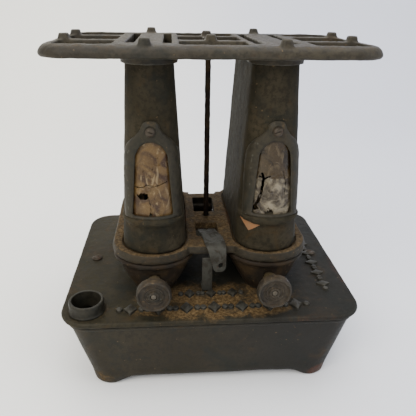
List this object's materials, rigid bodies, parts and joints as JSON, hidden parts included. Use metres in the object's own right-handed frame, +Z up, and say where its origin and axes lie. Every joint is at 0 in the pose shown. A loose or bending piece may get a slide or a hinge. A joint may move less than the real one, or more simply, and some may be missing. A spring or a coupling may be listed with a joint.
{
  "type": "kerosene stove",
  "caption": "Two-burner flat-wick kerosene stove in cast iron: fuel tank, wick knobs, chimneys with mica windows and a slotted pot grate, tilting back on a rear hinge.",
  "frame": {"origin": "on the table under the middle of the tank", "axes": "+X to the stove's right seen from the knobs, +Y to the back (the knobs face -Y), +Z up"},
  "size_m": [0.228, 0.1904, 0.255],
  "materials": {
    "tank_iron": "aged japanned cast iron, rust blooming on the feet",
    "deck_iron": "aged cast iron with settled tan rust dust",
    "neck_iron": "aged cast iron, worn bright on the rim",
    "cup_iron": "aged cast iron, brown rust film",
    "knob_iron": "turned cast iron, handled grey-brown",
    "base_iron": "aged cast iron under tan rust dust",
    "chimney_iron": "olive-black japanned cast iron",
    "frame_iron": "olive-black cast iron, rust at the lobe",
    "grate_iron": "heat-darkened cast iron, worn grey on its edges",
    "rod_iron": "near-black red-brown rusted iron rod",
    "screw_steel": "old slotted steel, dull and rust stained",
    "shaft_steel": "old steel, dull",
    "sheet_steel": "grey pitted sheet steel",
    "tube_brass": "old sheet brass, tarnished",
    "gland_brass": "turned brass, tarnished",
    "deflector_brass": "pressed sheet brass, sooted",
    "gasket_fibre": "oiled fibre sheet",
    "wick_cotton": "flat woven cotton wick",
    "mica": "aged mica, browned and flaking"
  },
  "bodies": {
    "base": {"oil_tank": "tank_iron", "tank_deck": "deck_iron", "deck_gasket": "gasket_fibre", "filler_neck": "neck_iron", "deck_screw_left": "screw_steel", "burner_cup_left": "cup_iron", "wick_tube_left": "tube_brass", "shaft_gland_left": "gland_brass", "shaft_bearing_left": "gland_brass", "hinge_screw_left": "screw_steel", "deck_screw_right": "screw_steel", "burner_cup_right": "cup_iron", "wick_tube_right": "tube_brass", "shaft_gland_right": "gland_brass", "shaft_bearing_right": "gland_brass", "hinge_screw_right": "screw_steel", "hinge_bracket": "cup_iron", "hinge_pin": "screw_steel", "latch_keeper": "sheet_steel", "keeper_screw": "screw_steel"},
    "knob_left": {"wick_knob_left": "knob_iron", "wick_shaft_left": "shaft_steel", "spur_wheel_left_front": "gland_brass", "spur_wheel_left_rear": "gland_brass"},
    "wick_strip_left": {"wick_left": "wick_cotton"},
    "knob_right": {"wick_knob_right": "knob_iron", "wick_shaft_right": "shaft_steel", "spur_wheel_right_front": "gland_brass", "spur_wheel_right_rear": "gland_brass"},
    "wick_strip_right": {"wick_right": "wick_cotton"},
    "upper_works": {"chimney_base": "base_iron", "top_grate": "grate_iron", "tie_rod": "rod_iron", "tie_rod_nut": "screw_steel", "chimney_left": "chimney_iron", "window_frame_left": "frame_iron", "mica_pane_left": "mica", "window_screw_left": "screw_steel", "flame_deflector_left": "deflector_brass", "chimney_right": "chimney_iron", "window_frame_right": "frame_iron", "mica_pane_right": "mica", "window_screw_right": "screw_steel", "flame_deflector_right": "deflector_brass"},
    "latch": {"latch_clip": "sheet_steel"}
  },
  "joints": [
    {"name": "knob_left_turn", "type": "hinge", "parent": "base", "child": "knob_left", "pos_m": [-0.0438, 0, 0.0829], "axis": [0, 1, 0], "range_deg": [-110, 75]},
    {"name": "wick_left_lift", "type": "slide", "parent": "base", "child": "wick_strip_left", "axis": [0, 0, 1], "range_m": [-0.0096, 0.0066]},
    {"name": "knob_right_turn", "type": "hinge", "parent": "base", "child": "knob_right", "pos_m": [0.0438, 0, 0.0829], "axis": [0, 1, 0], "range_deg": [-110, 75]},
    {"name": "wick_right_lift", "type": "slide", "parent": "base", "child": "wick_strip_right", "axis": [0, 0, 1], "range_m": [-0.0096, 0.0066]},
    {"name": "upper_tilt", "type": "hinge", "parent": "base", "child": "upper_works", "pos_m": [0, 0.076, 0.0805], "axis": [-1, 0, 0], "range_deg": [0, 60]},
    {"name": "latch_lift", "type": "hinge", "parent": "upper_works", "child": "latch", "pos_m": [0, -0.0392, 0.1054], "axis": [-1, 0, 0], "range_deg": [0, 40]}
  ],
  "couplings": [
    {"joint": "wick_left_lift", "follows": "knob_left_turn", "m_per_rad": 0.0049},
    {"joint": "wick_right_lift", "follows": "knob_right_turn", "m_per_rad": 0.0049}
  ]
}
